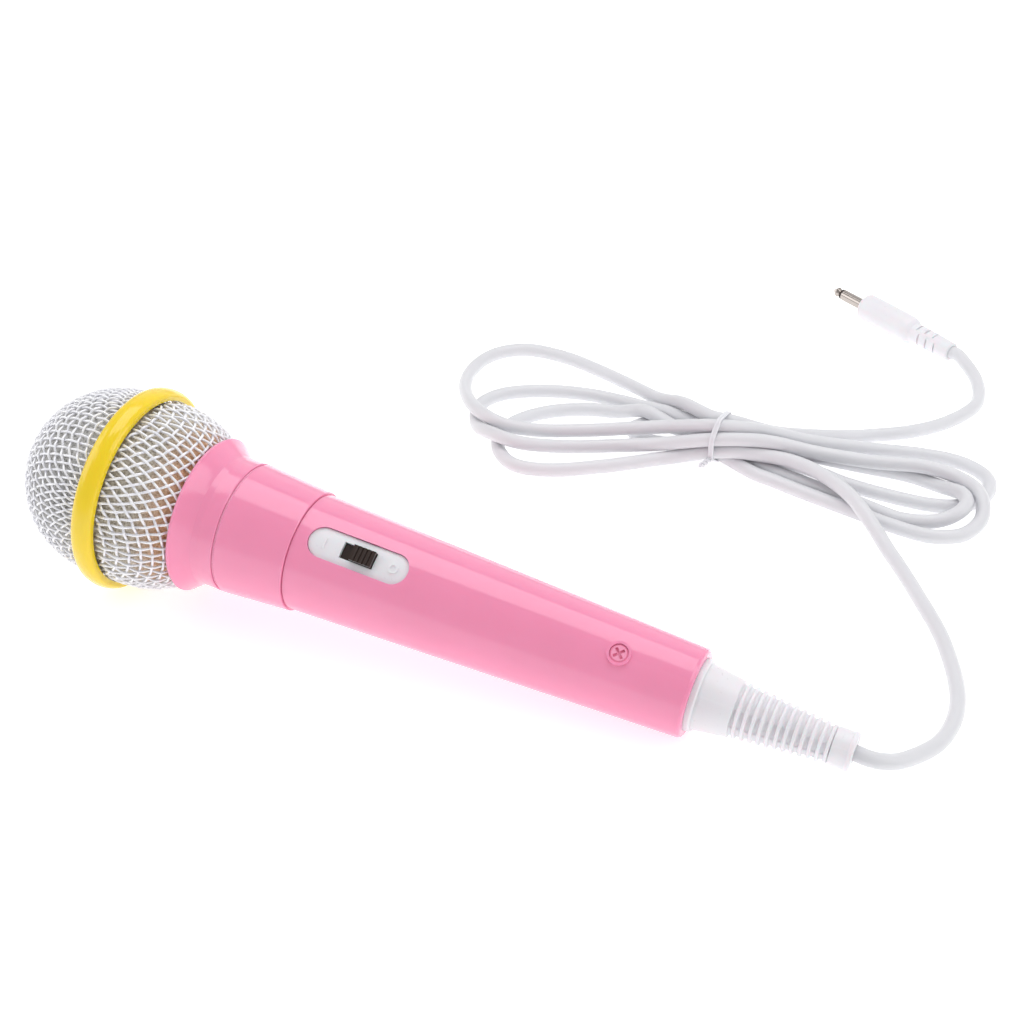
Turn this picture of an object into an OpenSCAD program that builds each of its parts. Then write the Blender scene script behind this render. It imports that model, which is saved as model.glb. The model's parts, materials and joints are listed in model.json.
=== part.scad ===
// Toy karaoke microphone: mesh head on a tapered handle with a slide switch,
// a ribbed cord boot and a tied hank of cable that ends in a mono jack plug.
// The table is the plane z = 0. The origin is where the head's band rests on it,
// +X runs under the microphone from head to tail, and +Z is up.
// Parts of the microphone are drawn along their own axis: z is the distance towards
// the tail from the seam between the head's two half balls, and +x is the switch's side.

/* [Head] */
// Outer radius of the mesh ball
ball_r = 24.5; // [24.3:0.1:24.7]
// Distance of the front half ball's centre from the seam
front_offset = 4.5; // [4.3:0.1:5]
// Distance of the rear half ball's centre from the seam
rear_offset = 5.7; // [5.5:0.1:5.8]
// Thickness of the wire mesh
mesh_t = 0.8; // [0.7:0.1:0.9]
// Crest radius of the band round the ball
band_r = 27; // [26.5:0.1:27.5]
// Width of the band
band_w = 5.8; // [5.4:0.1:6.2]
// Distance of the band's middle behind the seam
band_shift = 0.75; // [0.5:0.05:1]
// Thickness of the foam lining
foam_t = 3; // [2:0.5:4]
// Radius of the collar's front rim
rim_r = 20.3; // [20.2:0.1:20.6]

/* [Neck] */
// Radius of the neck just behind the collar
neck_front_r = 17; // [16.9:0.1:17.2]
// Radius of the neck where it meets the handle
neck_rear_r = 15.6; // [15.5:0.1:15.8]
// Radius of the threaded spigot that carries the head
spigot_r = 13.5; // [13.3:0.1:13.5]
// Radial running clearance of the head on the spigot
thread_gap = 0.08; // [0.05:0.01:0.1]

/* [Handle] */
// Radius of the handle at its front edge
handle_front_r = 15.05; // [15:0.05:15.2]
// Radius of the handle at its tail
handle_rear_r = 11.05; // [10.9:0.05:11.2]
// Distance from the head's seam to the tail
tail_z = 154; // [152:1:156]
// Wall thickness of the handle
wall = 2; // [1.9:0.1:2.1]
// Direction the switch faces, in degrees from straight up towards the front
roll = 34.6; // [0:0.1:60]

/* [Switch] */
// Distance from the head's seam to the middle of the switch
switch_z = 68.1; // [67:0.1:70]
// Length of the oblong window
window_l = 26.6; // [26:0.1:27]
// Width of the oblong window
window_w = 8; // [7.8:0.1:8.4]
// Depth of the plate below the handle's surface
plate_recess = 0.6; // [0.4:0.1:0.7]
// Length of the slot the knob runs in
slot_l = 8.8; // [8.6:0.1:9]
// Width of the slot
slot_w = 4.2; // [4:0.1:4.4]
// Travel of the knob from off to on
switch_travel = 2.7; // [2.4:0.1:2.8]

/* [Cord boot] */
// Radius of the flange that sits in the tail
flange_r = 9; // [8.8:0.05:9]
// Number of ribs
rib_count = 12; // [8:1:13]
// Distance from one rib to the next
rib_pitch = 1.95; // [1.9:0.05:2.05]
// Radius of the cable
cable_r = 2; // [1.8:0.1:2]

/* [Cable] */
// Space left between two strands that lie side by side
strand_gap = 0.15; // [0.1:0.05:0.2]

/* [Plug] */
// Direction the plug points, in degrees from +X
plug_turn = 150.6; // [140:0.1:160]
// Length of the jack from the shoulder to its point
jack_l = 14; // [14:0.5:15]
// Radius of the moulded body
plug_r = 4.5; // [4.2:0.1:4.8]
// Length of the moulded body
plug_l = 22; // [20:1:24]

/* [Hidden] */

$fn = 96;
gap = 0.05;
slip = 0.1;
pink = "#f5a3c3";
soft_white = "#f2f2f6";

// The microphone lies on its band and its tail, so its axis runs downhill
tilt = atan((band_r - handle_rear_r) / (tail_z - band_shift));

// Stations along the microphone's axis
rim_z = 21.5;
crease_z = 26.5;
collar_end = 32.4;
neck_z = 33;
seam_z = 51.2;
handle_z = seam_z + slip;
spigot_z = 23.5;
handle_slope = (handle_front_r - handle_rear_r) / (tail_z - handle_z);
socket_z = 41;
clamp_z = 128;
clamp_end = 149;
screw_z = 135.6;
cable_start = 126;
smooth_l = 8.6;
boot_z = tail_z + 1.4;
ribs_z = boot_z + smooth_l;
boot_end = ribs_z + rib_count * rib_pitch + 5.2;

// Places on the table of the twist tie and of the plug's shoulder
tie_at = [123.7, 113];
plug_at = [139.6, 213.8];

// Radius of a standard 3.5 mm jack's shank
jack_r = 1.75;

// Lengths along the plug, back from its shoulder
relief_l = 15.7;
plug_back = plug_l + relief_l;
core_z = 14;

function handle_r(z) = handle_front_r - handle_slope * (z - handle_z);
function bore_r(z) = handle_r(z) - wall;
function unit(v) = v / norm(v);

// Point on the microphone's axis, in the part's frame
function axis_point(z) = [
    band_r * sin(tilt) + z * cos(tilt),
    0,
    band_r * cos(tilt) + (band_shift - z) * sin(tilt)
];

// Moves a piece from the microphone's own axis to its place on the table
module on_mic() {
    translate(axis_point(0))
        rotate([0, 90 + tilt, 0])
            rotate([0, 0, 180 + roll])
                children();
}

// Frame of the switch: +x leaves the handle's surface, +z runs along it to the tail
module on_switch() {
    translate([handle_r(switch_z), 0, switch_z])
        rotate([0, -atan(handle_slope), 0])
            children();
}

// Frame of the handle screw: +z leaves the handle's surface
module on_screw() {
    translate([handle_r(screw_z), 0, screw_z])
        rotate([0, 90 - atan(handle_slope), 0])
            children();
}

// Frame of the plug: +z points along the jack, z = 0 at the shoulder
module on_plug() {
    translate([plug_at.x, plug_at.y, plug_r])
        rotate([0, 90, plug_turn])
            children();
}

// Tube round z from z1 to z2
module tube(outer, inner, z1, z2) {
    translate([0, 0, z1])
        difference() {
            cylinder(r = outer, h = z2 - z1);
            translate([0, 0, -1])
                cylinder(r = inner, h = z2 - z1 + 2);
        }
}

// Box given by its lowest and highest corners
module block(low, high) {
    translate(low)
        cube(high - low);
}

// Oblong with round ends, drawn along z and extruded along x from x1 to x2
module oblong(length, width, x1, x2) {
    straight = (length - width) / 2;
    for (end = [-straight, straight])
        translate([x1, 0, end])
            rotate([0, 90, 0])
                cylinder(d = width, h = x2 - x1, $fn = 48);
    block([x1, -width / 2, -straight], [x2, width / 2, straight]);
}

// Solid cone that follows the handle's surface, sunk below it by depth
module handle_cone(depth) {
    span = tail_z - handle_z;
    translate([0, 0, handle_z])
        cylinder(r1 = handle_front_r - depth, r2 = handle_rear_r - depth, h = span);
}

// Outline of a half ball at a distance below its surface, from the band outwards
function dome(offset, depth, limit, steps = 24) = [
    for (i = [0:steps])
        let (a = limit * i / steps)
            [(ball_r - depth) * cos(a), offset + (ball_r - depth) * sin(a)]
];

// Shell between two depths of a half ball, opening at start and closed up to an angle
module dome_shell(offset, depth, thickness, start, limit) {
    outer = dome(offset, depth, limit);
    inner = dome(offset, depth + thickness, limit);
    rotate_extrude()
        polygon(concat(
            [[ball_r - depth - thickness, start], [ball_r - depth, start]],
            outer,
            [for (i = [len(inner) - 1:-1:0]) inner[i]]
        ));
}

// ---- Head ----

mesh_end = rim_z + 1;
foam_end = rim_z - 2;
collar_limit = asin((mesh_end - rear_offset) / ball_r);
foam_limit = asin((foam_end - rear_offset) / (ball_r - mesh_t - slip));

module front_grille() {
    color("lightsteelblue")
        on_mic()
            mirror([0, 0, 1])
                dome_shell(front_offset, 0, mesh_t, gap, 90);
}

module rear_grille() {
    color("silver")
        on_mic()
            dome_shell(rear_offset, 0, mesh_t, gap, collar_limit);
}

module grille_band() {
    half = band_w / 2;
    edge_r = ball_r + 1;
    seat_r = ball_r + gap;
    crown = [
        for (i = [-6:6])
            let (a = 90 * i / 6)
                [edge_r + (band_r - edge_r) * cos(a), half * sin(a)]
    ];
    color("gold")
        on_mic()
            translate([0, 0, band_shift])
                rotate_extrude($fn = 120)
                    polygon(concat([[seat_r, half], [seat_r, -half]], crown));
}

module front_foam() {
    color("#8d8d92")
        on_mic()
            mirror([0, 0, 1])
                dome_shell(front_offset, mesh_t + slip, foam_t, 2 * gap, 90);
}

module rear_foam() {
    color("#c9b39a")
        on_mic()
            dome_shell(rear_offset, mesh_t + slip, foam_t, 2 * gap, foam_limit);
}

// Flared rim, waist and rear edge of the collar, with a seat for the rear mesh
module grille_collar() {
    seat_z = rim_z + 1.3;
    seat_r = ball_r * cos(collar_limit);
    waist_r = neck_front_r - 0.1;
    crease_r = neck_front_r + 0.15;
    flare_z = rim_z + 0.7;
    hollow = 0.25;
    flare = [
        for (i = [0:6])
            let (t = i / 6)
                [
                    rim_r - (rim_r - crease_r) * (t + hollow * t * (1 - t)),
                    flare_z + (crease_z - flare_z) * t
                ]
    ];
    color(pink)
        on_mic()
            rotate_extrude($fn = 120)
                polygon(concat(
                    [[seat_r + 1.1, rim_z], [rim_r - 0.3, rim_z]],
                    flare,
                    [
                        [waist_r, crease_z + 1.6],
                        [waist_r, crease_z + 3.2],
                        [neck_front_r, collar_end - 0.25],
                        [neck_front_r - 0.15, collar_end],
                        [spigot_r + thread_gap, collar_end],
                        [spigot_r + thread_gap, seat_z + 0.7],
                        [16.6, seat_z + 0.7],
                        [seat_r + 0.15, seat_z]
                    ]
                ));
}

// Felt washer the collar tightens on
module head_washer() {
    color("#d98cab")
        on_mic()
            tube(neck_front_r - 0.45, spigot_r + thread_gap, collar_end + gap, neck_z - gap);
}

// ---- Neck and handle ----

module neck_sleeve() {
    passage_r = spigot_r - 2;
    socket_r = bore_r(handle_z) + slip;
    color(pink)
        on_mic()
            difference() {
                rotate_extrude($fn = 120)
                    polygon([
                        [passage_r, spigot_z],
                        [spigot_r - 0.4, spigot_z],
                        [spigot_r, spigot_z + 0.4],
                        [spigot_r, neck_z],
                        [neck_front_r - 0.15, neck_z],
                        [neck_front_r, neck_z + 0.25],
                        [neck_rear_r, seam_z - 0.2],
                        [neck_rear_r - 0.15, seam_z],
                        [passage_r, seam_z]
                    ]);
                translate([0, 0, socket_z])
                    cylinder(r = socket_r, h = seam_z);
            }
}

// Tapered shell with a spigot at the front, the switch window and the screw's ring boss
module handle_shell() {
    spigot_out = bore_r(handle_z);
    spigot_in = spigot_out - 1.6;
    spigot_front = socket_z + slip;
    lip = 0.9;
    color(pink)
        on_mic()
            difference() {
                union() {
                    rotate_extrude($fn = 120)
                        polygon([
                            [spigot_in, spigot_front],
                            [spigot_out, spigot_front],
                            [spigot_out, handle_z],
                            [handle_front_r - 0.15, handle_z],
                            [handle_front_r, handle_z + 0.2],
                            [handle_r(tail_z - lip), tail_z - lip],
                            [handle_r(tail_z) - 0.25, tail_z - 0.3],
                            [handle_r(tail_z) - lip, tail_z],
                            [bore_r(tail_z), tail_z],
                            [bore_r(handle_z + 1.5), handle_z + 1.5],
                            [spigot_in, handle_z + 0.5]
                        ]);
                    on_screw()
                        tube(2.95, 2.2, -0.4, 0.3);
                }
                on_switch()
                    oblong(window_l, window_w, -4, 2);
                on_screw()
                    translate([0, 0, -1.1])
                        cylinder(r = 2.3, h = 3);
                on_screw()
                    translate([0, 0, -4])
                        cylinder(r = 1.3, h = 6);
            }
}

// Cross-recess screw that pins the cord clamp in the tail
module handle_screw() {
    head_r = 2.25;
    color("#ef8fb6")
        on_mic()
            on_screw()
                difference() {
                    union() {
                        translate([0, 0, -1])
                            cylinder(r = head_r, h = 0.8);
                        translate([0, 0, -0.2])
                            cylinder(r1 = head_r, r2 = head_r - 0.45, h = 0.3);
                        translate([0, 0, -6.6])
                            cylinder(r = 1, h = 5.8);
                    }
                    for (turn = [45, 135])
                        rotate([0, 0, turn])
                            translate([0, 0, -0.1])
                                cube([3, 0.7, 1], center = true);
                }
}

// ---- Capsule ----

capsule_r = 13;
capsule_z = 9;
capsule_back = 20.4;
case_t = 0.8;
stub_r = 9.9;

// Rubber ring between the capsule's stub and the neck's spigot
module capsule_mount() {
    color("#3a3a3e")
        on_mic()
            rotate_extrude()
                polygon([
                    [stub_r + gap, capsule_back + gap],
                    [spigot_r - 0.4, capsule_back + gap],
                    [spigot_r - 0.4, spigot_z - gap],
                    [spigot_r - 2 - gap, spigot_z - gap],
                    [spigot_r - 2 - gap, spigot_z + 4],
                    [stub_r + gap, spigot_z + 4]
                ]);
}

// Cup with a closed back and a hollow stub behind it
module capsule_case() {
    color("#c8c8cc")
        on_mic() {
            tube(capsule_r, capsule_r - case_t, capsule_z, capsule_back);
            translate([0, 0, capsule_back - case_t])
                cylinder(r = capsule_r - case_t / 2, h = case_t);
            tube(stub_r, stub_r - 1, capsule_back - case_t / 2, capsule_back + 4);
        }
}

// Perforated front cover
module capsule_cap() {
    cover_t = 0.8;
    hole_r = 0.9;
    color("#b9b9bf")
        on_mic()
            difference() {
                translate([0, 0, capsule_z - gap - cover_t])
                    cylinder(r = capsule_r, h = cover_t);
                for (ring = [0:2])
                    for (i = [0:max(0, 6 * ring - 1)])
                        rotate([0, 0, i * 60 / max(1, ring)])
                            translate([3.6 * ring, 0, capsule_z - 3])
                                cylinder(r = hole_r, h = 4, $fn = 24);
            }
}

// Domed film with its voice coil
module capsule_diaphragm() {
    film_z = 11.4;
    film_t = 0.2;
    coil_r = 6.3;
    dome_r = 10.5;
    edge = asin((coil_r - 0.02) / dome_r);
    color("#d9b98c")
        on_mic() {
            tube(capsule_r - case_t - slip, coil_r - 0.25, film_z, film_z + film_t);
            tube(coil_r, coil_r - 0.25, film_z + 0.1, film_z + 3.2);
            rotate_extrude()
                polygon([
                    for (depth = [0, film_t])
                        for (i = [0:8])
                            let (
                                share = depth == 0 ? i / 8 : 1 - i / 8,
                                a = edge * share,
                                r = dome_r - depth
                            )
                                [
                                    r * sin(a),
                                    film_z + film_t / 2 + dome_r * cos(edge) - r * cos(a)
                                ]
                ]);
        }
}

module capsule_pole() {
    color("#8f9297")
        on_mic()
            translate([0, 0, 13.6])
                cylinder(r = 5.5, h = 1.7);
}

module capsule_magnet() {
    color("#5c5f66")
        on_mic()
            translate([0, 0, 15.3 + gap])
                cylinder(r = 5.2, h = 3);
}

// Steel cup round the magnet
module capsule_yoke() {
    base_z = 18.4;
    end_z = capsule_back - case_t - gap;
    color("#9a9ca2")
        on_mic() {
            tube(8.2, 7.2, 13.4, end_z);
            translate([0, 0, base_z])
                cylinder(r = 7.8, h = end_z - base_z);
        }
}

// Two solder tags on the back of the case
module capsule_terminals() {
    tag_z = capsule_back + gap;
    color("#cfa75a")
        on_mic()
            for (side = [-1, 1])
                block([side * 3 - 0.9, -0.4, tag_z], [side * 3 + 0.9, 0.4, tag_z + 3]);
}

// ---- Slide switch ----

grip_l = 5.7;
off_shift = switch_travel / 2;
plate_under = 1.8;
flange_under = 3;
frame_top = flange_under + 2 * gap;
screw_reach = 9.8;

// Oblong plate with a slot, on a wider flange inside the wall; a raised bar
// stands for on and a raised ring for off
module switch_plate() {
    mark = 0.25;
    color(soft_white)
        on_mic()
            difference() {
                union() {
                    intersection() {
                        on_switch()
                            oblong(window_l - 2 * slip, window_w - 2 * slip, -flange_under, 2);
                        handle_cone(plate_recess);
                    }
                    intersection() {
                        on_switch()
                            oblong(window_l + 2.6, window_w + 2.6, -flange_under, 2);
                        handle_cone(wall + gap);
                    }
                    intersection() {
                        on_switch() {
                            block([-2, -1.4, -9.4], [2, 1.4, -8.8]);
                            translate([-2, 0, 9.3])
                                rotate([0, 90, 0])
                                    tube(1.3, 0.75, 0, 4);
                        }
                        handle_cone(plate_recess - mark);
                    }
                }
                on_switch()
                    block([-9, -slot_w / 2, -slot_l / 2], [3, slot_w / 2, slot_l / 2]);
                on_switch()
                    block([-9, -2.8, -7.7], [-plate_under, 2.8, 7.7]);
                for (end = [-1, 1])
                    on_switch()
                        translate([-flange_under - 1, 0, end * screw_reach])
                            rotate([0, 90, 0])
                                cylinder(r = 0.7, h = 2.2, $fn = 24);
            }
}

// Folded metal frame: ears screwed to the plate and an open box behind them
module switch_frame() {
    sheet = 0.5;
    deep = frame_top + 4.5;
    color("#b4b7bd")
        on_mic()
            on_switch()
                difference() {
                    union() {
                        block([-frame_top - sheet, -3.1, -12], [-frame_top, 3.1, 12]);
                        block([-deep, -3.1, -7.2], [-frame_top, 3.1, 7.2]);
                    }
                    block([-deep - 1, -2.7, -6.8], [1, 2.7, 6.8]);
                    for (end = [-1, 1])
                        translate([-frame_top - 1, 0, end * screw_reach])
                            rotate([0, 90, 0])
                                cylinder(r = 0.9, h = 2, $fn = 24);
                }
}

// Insulating board that closes the frame, with three slots for the terminals
module switch_base() {
    color("#8a5a34")
        on_mic()
            on_switch()
                difference() {
                    block([-frame_top - 4.4, -2.65, -6.75], [-frame_top - 3.2, 2.65, 6.75]);
                    for (place = [-1:1])
                        block(
                            [-frame_top - 6, -0.95, place * 4 - 0.35],
                            [-frame_top, 0.95, place * 4 + 0.35]
                        );
                }
}

module switch_terminals() {
    color("#cfa75a")
        on_mic()
            on_switch()
                for (place = [-1:1])
                    difference() {
                        block(
                            [-frame_top - 7.4, -0.9, place * 4 - 0.3],
                            [-frame_top - 2.3, 0.9, place * 4 + 0.3]
                        );
                        translate([-frame_top - 6.6, 0, place * 4 - 1])
                            cylinder(r = 0.45, h = 2, $fn = 24);
                    }
}

module switch_screws() {
    color("#aeb1b6")
        on_mic()
            on_switch()
                for (end = [-1, 1])
                    translate([-frame_top - 0.5 - gap, 0, end * screw_reach])
                        rotate([0, 90, 0]) {
                            translate([0, 0, -0.7])
                                cylinder(r = 1.3, h = 0.7, $fn = 24);
                            cylinder(r = 0.65, h = 1.6, $fn = 24);
                        }
}

// Ribbed knob on a sliding base that keeps the slot closed, drawn at off
module switch_knob() {
    top = 0.75;
    ribs = 5;
    rib_step = grip_l / ribs;
    color("#231c1a")
        on_mic()
            on_switch()
                translate([0, 0, off_shift])
                    difference() {
                        union() {
                            block(
                                [-plate_under - 1, -slot_w / 2 + slip, -grip_l / 2],
                                [top, slot_w / 2 - slip, grip_l / 2]
                            );
                            block([-flange_under + gap, -2.5, -6], [-plate_under - gap, 2.5, 6]);
                            block([-frame_top - 1, -2, -2.4], [-plate_under - 0.4, 2, 2.4]);
                        }
                        for (i = [1:ribs - 1])
                            translate([top, 0, i * rib_step - grip_l / 2])
                                rotate([0, 45, 0])
                                    cube([0.42, 6, 0.42], center = true);
                    }
}

// Brass bridge carried under the knob
module switch_contact() {
    color("#d2ab5e")
        on_mic()
            on_switch()
                translate([0, 0, off_shift])
                    difference() {
                        block([-frame_top - 2.2, -1.5, -2.8], [-frame_top - 1 - gap, 1.5, 2.8]);
                        block([-frame_top - 3, -2, -1.9], [-frame_top - 1.6, 2, 1.9]);
                    }
}

// ---- Tail ----

// Plug in the tail that grips the cable and takes the handle screw
module cord_clamp() {
    color("#e7e7ec")
        on_mic()
            difference() {
                translate([0, 0, clamp_z])
                    cylinder(
                        r1 = bore_r(clamp_z) - slip,
                        r2 = bore_r(clamp_end) - slip,
                        h = clamp_end - clamp_z
                    );
                translate([0, 0, clamp_z - 1])
                    cylinder(r = cable_r + gap, h = clamp_end);
                on_screw()
                    translate([0, 0, -7])
                        cylinder(r = 1 + gap, h = 8);
            }
}

// Flange in the tail, smooth cone, ribs and a plain end collar
module strain_relief() {
    cone_r = 8.1;
    rib_r = 6.95;
    end_r = 4.65;
    groove = 0.75;
    collar_z = ribs_z + rib_count * rib_pitch;
    ribs = [
        for (i = [0:rib_count - 1])
            let (
                z = ribs_z + i * rib_pitch,
                r = rib_r + (end_r + 0.2 - rib_r) * i / (rib_count - 1)
            )
                each [
                    [r - groove, z],
                    [r - groove, z + 0.35 * rib_pitch],
                    [r - 0.1, z + 0.45 * rib_pitch],
                    [r, z + 0.6 * rib_pitch],
                    [r, z + 0.85 * rib_pitch],
                    [r - groove, z + 0.98 * rib_pitch]
                ]
    ];
    color(soft_white)
        on_mic()
            rotate_extrude()
                polygon(concat(
                    [
                        [cable_r + gap, clamp_end + slip],
                        [flange_r, clamp_end + slip],
                        [flange_r, boot_z - 0.2],
                        [flange_r - 0.2, boot_z],
                        [cone_r, boot_z],
                        [cone_r, boot_z + 0.6],
                        [rib_r, ribs_z - 0.2]
                    ],
                    ribs,
                    [
                        [end_r, collar_z],
                        [end_r, boot_end - 1],
                        [end_r + 0.2, boot_end - 0.8],
                        [end_r + 0.2, boot_end - 0.2],
                        [end_r, boot_end],
                        [cable_r + gap, boot_end]
                    ]
                ));
}

// ---- Cable ----

// Smooth curve through the points, all but the first and last, in even steps
function spline(points, step) = [
    for (i = [1:len(points) - 3])
        let (
            a = points[i - 1],
            b = points[i],
            c = points[i + 1],
            d = points[i + 2],
            count = max(1, ceil(norm(c - b) / step))
        )
            for (k = [0:count - 1])
                let (t = k / count)
                    (2 * b + (c - a) * t + (2 * a - 5 * b + 4 * c - d) * t * t
                        + (3 * b - a - 3 * c + d) * t * t * t) / 2,
    points[len(points) - 2]
];

// Round tube along a path, with a side turned smoothly from station to station
module sweep(path, radius, sides) {
    last = len(path) - 1;
    along = [
        for (i = [0:last])
            unit(path[min(last, i + 1)] - path[max(0, i - 1)])
    ];
    across = [
        for (
            i = 0, v = unit(cross(along[0], [0.3, 0.2, 1]));
            i <= last;
            i = i + 1, v = i > last ? v : unit(v - (v * along[i]) * along[i])
        )
            v
    ];
    ring = [
        for (i = [0:last])
            for (k = [0:sides - 1])
                path[i] + radius * (
                    across[i] * cos(360 * k / sides)
                    + cross(along[i], across[i]) * sin(360 * k / sides)
                )
    ];
    walls = [
        for (i = [0:last - 1])
            for (k = [0:sides - 1])
                let (
                    a = i * sides + k,
                    b = i * sides + (k + 1) % sides
                )
                    each [[a, b + sides, b], [a, a + sides, b + sides]]
    ];
    ends = [
        [for (k = [0:sides - 1]) k],
        [for (k = [sides - 1:-1:0]) last * sides + k]
    ];
    polyhedron(ring, concat(walls, ends));
}

tie_t = 0.7;
// Gap between the tie and the table, and how far along the strands they are held up by it
tie_lift = 0.3;
tie_reach = 15;
floor_z = cable_r;
pass_gap = 2 * cable_r + strand_gap;

// The eight strands in the tie: seven in a ring round one in the middle
ring_r = pass_gap / (2 * sin(180 / 7));
bundle_z = cable_r + tie_t + slip + tie_lift + ring_r;

// Place in the bundle of a strand: -1 in the middle, or 0 to 6 round the ring
function tied(place) =
    let (a = 55 + 360 * place / 7, r = place < 0 ? 0 : ring_r)
        [tie_at.x, tie_at.y + r * cos(a), bundle_z + r * sin(a)];

// Places of the strands, in the order the cable runs through the tie
strands = [3, -1, 5, 4, 2, 6, 1, 0];

// The loop after each strand: points it passes, as distances from the tie towards the
// tail and towards the plug, and its height above a strand that lies on the table
loops = [
    [
        [-14, -9, 0.5], [-28, -19, 0], [-41, -27, 0], [-52, -29, 0], [-60, -23, 0], [-62.5, -14, 0],
        [-60, -5, 0], [-52, 3.5, 0], [-40, 9, 0], [-27, 8, 1], [-14, 4.5, 3]
    ],
    [
        [15, 4, 4], [28, 7.5, 2], [41, 10.5, 0.5], [54, 11.5, 0.5], [64, 8, 2], [70.5, 2.5, 4],
        [71.5, -4, 4], [66, -9, 1.5], [55, -10.5, 0], [41, -7, 0], [27, -4, 0], [13, -1, 0.5]
    ],
    [
        [-8, 5.5, 1], [-15, 8.5, 0], [-21, 9, 0], [-26, 7.5, 0], [-28, 4, 0], [-26, 0.5, 0], [-21, -1, 0],
        [-15, -0.5, 0], [-8, 0, 0.5]
    ],
    [
        [13, -5.5, 0.5], [27, -8.5, 0], [41, -11.5, 0], [54, -14, 0], [65, -15, 0], [73, -11, 0],
        [76.5, -3.5, 1.5], [74, 3, 4.4], [66.5, 9, 4], [55, 11, 4], [42, 8.3, 4], [28, 5, 5], [14, 1.5, 6.5]
    ],
    [
        [-15, -7, 4], [-29, -11, 2], [-42, -16.5, 1.5], [-54, -23.5, 4], [-64, -20.5, 3], [-71.5, -13, 0.5],
        [-75, -4, 0], [-71.5, 5, 0], [-62, 11.5, 0], [-49, 15.5, 0], [-36, 15.5, 0.5], [-20, 10.5, 3]
    ],
    [
        [14, 3.5, 2.5], [25, 3.5, 0.5], [37, 0.5, 0], [50, -0.5, 0], [62, 0, 0], [70, 3.5, 0], [75, 11, 0],
        [73.5, 19.5, 0], [65, 24.5, 0], [54, 23.5, 0.5], [41, 19, 1.5], [27, 13, 3.5], [13.5, 6.5, 6.5]
    ],
    [
        [-14, -1.5, 7], [-26, -4.5, 5], [-38, -8.5, 3.5], [-50, -14, 3.5], [-60, -17, 4.4], [-69, -14.5, 4.4],
        [-77, -6.5, 3], [-83.5, 4.5, 1], [-86, 16, 0], [-83.5, 26.5, 0], [-76, 33, 0], [-65.5, 34, 0],
        [-53, 31.5, 0], [-36.5, 24.5, 1], [-18, 12, 5]
    ]
];

// Point on the plug's axis behind its shoulder
function plug_point(back) = [
    plug_at.x - back * cos(plug_turn),
    plug_at.y - back * sin(plug_turn),
    plug_r
];

// The lead runs out of the boot and round to the tie
lead = concat(
    [
        for (z = [cable_start - 20, cable_start, ribs_z, boot_end - 8, boot_end, boot_end + 5])
            axis_point(z)
    ],
    [[205, 5, cable_r + 2.6], [211, 18, cable_r + 0.4]],
    [
        for (p = [
            [211, 34, 0], [203, 54, 0], [192, 71, 0], [181, 86, 0],
            [171, 97, 2.5], [161, 105, 4.4], [150, 110, 5], [137, 112, 4.5]
        ])
            [p.x, p.y, floor_z + p.z]
    ]
);

// The tail runs from the tie into the plug
tail = concat(
    [
        for (p = [
            [133, 121, 6], [146, 131, 2], [159, 140, 0], [171, 148, 0],
            [180, 158, 0], [185.5, 171, 0], [183, 184, 0.6]
        ])
            [p.x, p.y, floor_z + p.z]
    ],
    [for (back = [plug_back + 3.3, plug_back, plug_back - 8, core_z, 0]) plug_point(back)]
);

// Points the whole cable is drawn through
cable_plan = concat(
    lead,
    [
        for (i = [0:len(strands) - 1])
            each concat(
                [tied(strands[i])],
                i < len(loops)
                    ? [for (p = loops[i]) [tie_at.x + p.x, tie_at.y + p.y, floor_z + p.z]]
                    : []
            )
    ],
    tail
);

cable_step = 3;
// Steps along the cable within which two points count as neighbours, not as two passes
own = 5;
// Steps over which a push on one point is shared with the next ones
shared = 3;

// For each point, the points of other passes that come near it
function other_passes(path) = [
    for (i = [0:len(path) - 1])
        [
            for (j = [0:len(path) - 1])
                if (abs(path[i].x - path[j].x) < 2 * pass_gap && abs(i - j) > own)
                    if (norm(path[i] - path[j]) < 2 * pass_gap)
                        j
        ]
];

// Mean push on a point away from the passes it cuts into
function push(path, i, others) =
    let (
        pushes = [
            for (j = others)
                let (
                    away = path[i] - path[j],
                    distance = norm(away)
                )
                    if (distance < pass_gap)
                        away * (pass_gap - distance) / distance
        ]
    )
        len(pushes) == 0 ? [0, 0, 0] : [for (p = pushes) 1] * pushes / len(pushes);

// Lowest height of the cable's middle line: on the table, and over the tie inside it
function lowest(x) =
    floor_z + (tie_t + slip + tie_lift) * max(0, 1 - abs(x - tie_at.x) / tie_reach);

// The cable once its passes lie against each other and on the table
function settle(path, others, rounds) =
    rounds == 0
        ? path
        : let (
            last = len(path) - 1,
            pushes = [for (i = [0:last]) push(path, i, others[i])],
            weights = [for (k = [-shared:shared]) 1 - abs(k) / (shared + 1)],
            whole = weights * [for (w = weights) 1],
            moved = [
                for (i = [0:last])
                    let (around = [for (k = [-shared:shared]) pushes[min(last, max(0, i + k))]])
                        path[i] + 0.8 * (weights * around) / whole
            ]
        )
            settle([for (p = moved) [p.x, p.y, max(lowest(p.x), p.z)]], others, rounds - 1);

// The middle line of the cable at rest
function cable_line() =
    let (path = spline(cable_plan, cable_step))
        settle(path, other_passes(path), 24);

module cable() {
    color("white")
        sweep(cable_line(), cable_r, 8);
}

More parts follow.
